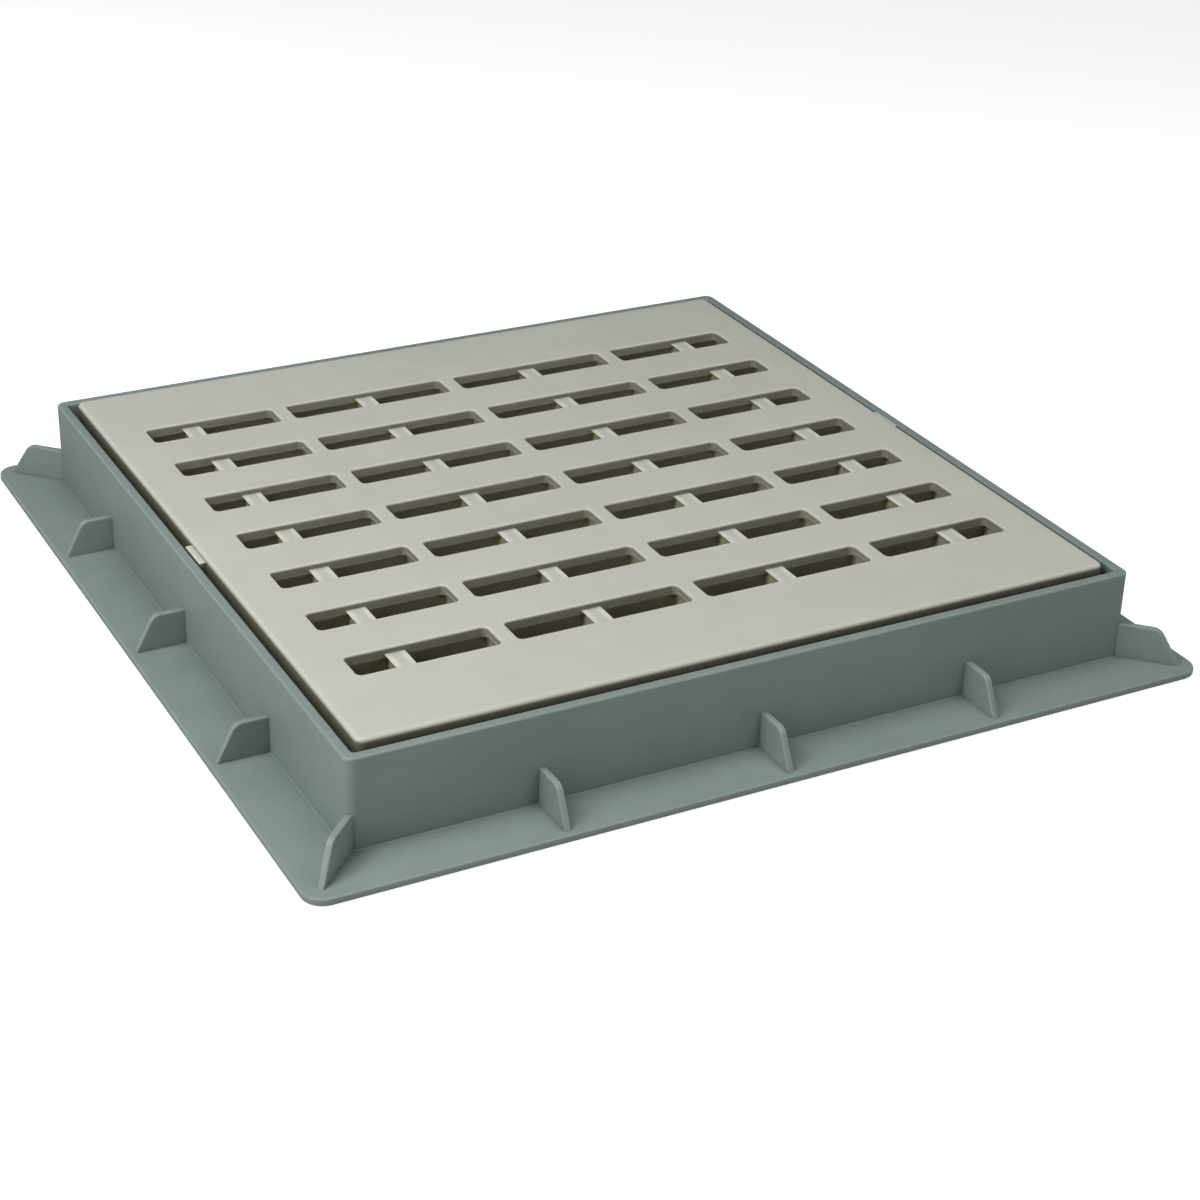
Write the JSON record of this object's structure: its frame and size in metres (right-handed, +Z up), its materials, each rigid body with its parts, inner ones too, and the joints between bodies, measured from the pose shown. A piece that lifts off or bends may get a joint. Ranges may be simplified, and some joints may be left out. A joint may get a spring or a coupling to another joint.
{
  "type": "square drain cover",
  "caption": "Square slotted plastic drain grate seated in a flanged plastic frame with gussets; the grate lifts straight out.",
  "frame": {"origin": "on the bedding plane, at the centre of the frame", "axes": "+Z up out of the ground; +X along the slots; the front is -Y"},
  "size_m": [0.456, 0.456, 0.0505],
  "materials": {
    "frame_plastic": "fine satin, grey-green",
    "grate_plastic": "fine matte, warm stone"
  },
  "bodies": {
    "frame": {"wall_front": "frame_plastic", "wall_right": "frame_plastic", "wall_back": "frame_plastic", "wall_left": "frame_plastic", "flange_front": "frame_plastic", "flange_right": "frame_plastic", "flange_back": "frame_plastic", "flange_left": "frame_plastic", "seat_front": "frame_plastic", "seat_right": "frame_plastic", "seat_back": "frame_plastic", "seat_left": "frame_plastic", "gusset_front_1": "frame_plastic", "gusset_front_2": "frame_plastic", "gusset_front_3": "frame_plastic", "gusset_right_1": "frame_plastic", "gusset_right_2": "frame_plastic", "gusset_right_3": "frame_plastic", "gusset_back_1": "frame_plastic", "gusset_back_2": "frame_plastic", "gusset_back_3": "frame_plastic", "gusset_left_1": "frame_plastic", "gusset_left_2": "frame_plastic", "gusset_left_3": "frame_plastic", "gusset_corner_front_right": "frame_plastic", "gusset_corner_back_right": "frame_plastic", "gusset_corner_back_left": "frame_plastic", "gusset_corner_front_left": "frame_plastic", "seat_bracket_front_1": "frame_plastic", "seat_bracket_front_2": "frame_plastic", "seat_bracket_front_3": "frame_plastic", "seat_bracket_right_1": "frame_plastic", "seat_bracket_right_2": "frame_plastic", "seat_bracket_right_3": "frame_plastic", "seat_bracket_back_1": "frame_plastic", "seat_bracket_back_2": "frame_plastic", "seat_bracket_back_3": "frame_plastic", "seat_bracket_left_1": "frame_plastic", "seat_bracket_left_2": "frame_plastic", "seat_bracket_left_3": "frame_plastic"},
    "grate": {"grate_deck": "grate_plastic", "cross_rib_1": "grate_plastic", "cross_rib_2": "grate_plastic", "cross_rib_3": "grate_plastic", "cross_rib_4": "grate_plastic", "cross_rib_5": "grate_plastic", "cross_rib_6": "grate_plastic", "cross_rib_7": "grate_plastic", "grate_rim_front": "grate_plastic", "grate_rim_right": "grate_plastic", "grate_rim_back": "grate_plastic", "grate_rim_left": "grate_plastic", "centring_lug_left": "grate_plastic", "centring_lug_right": "grate_plastic"}
  },
  "joints": [
    {"name": "grate_lift", "type": "slide", "parent": "frame", "child": "grate", "axis": [0, 0, 1], "range_m": [0, 0.08]}
  ]
}
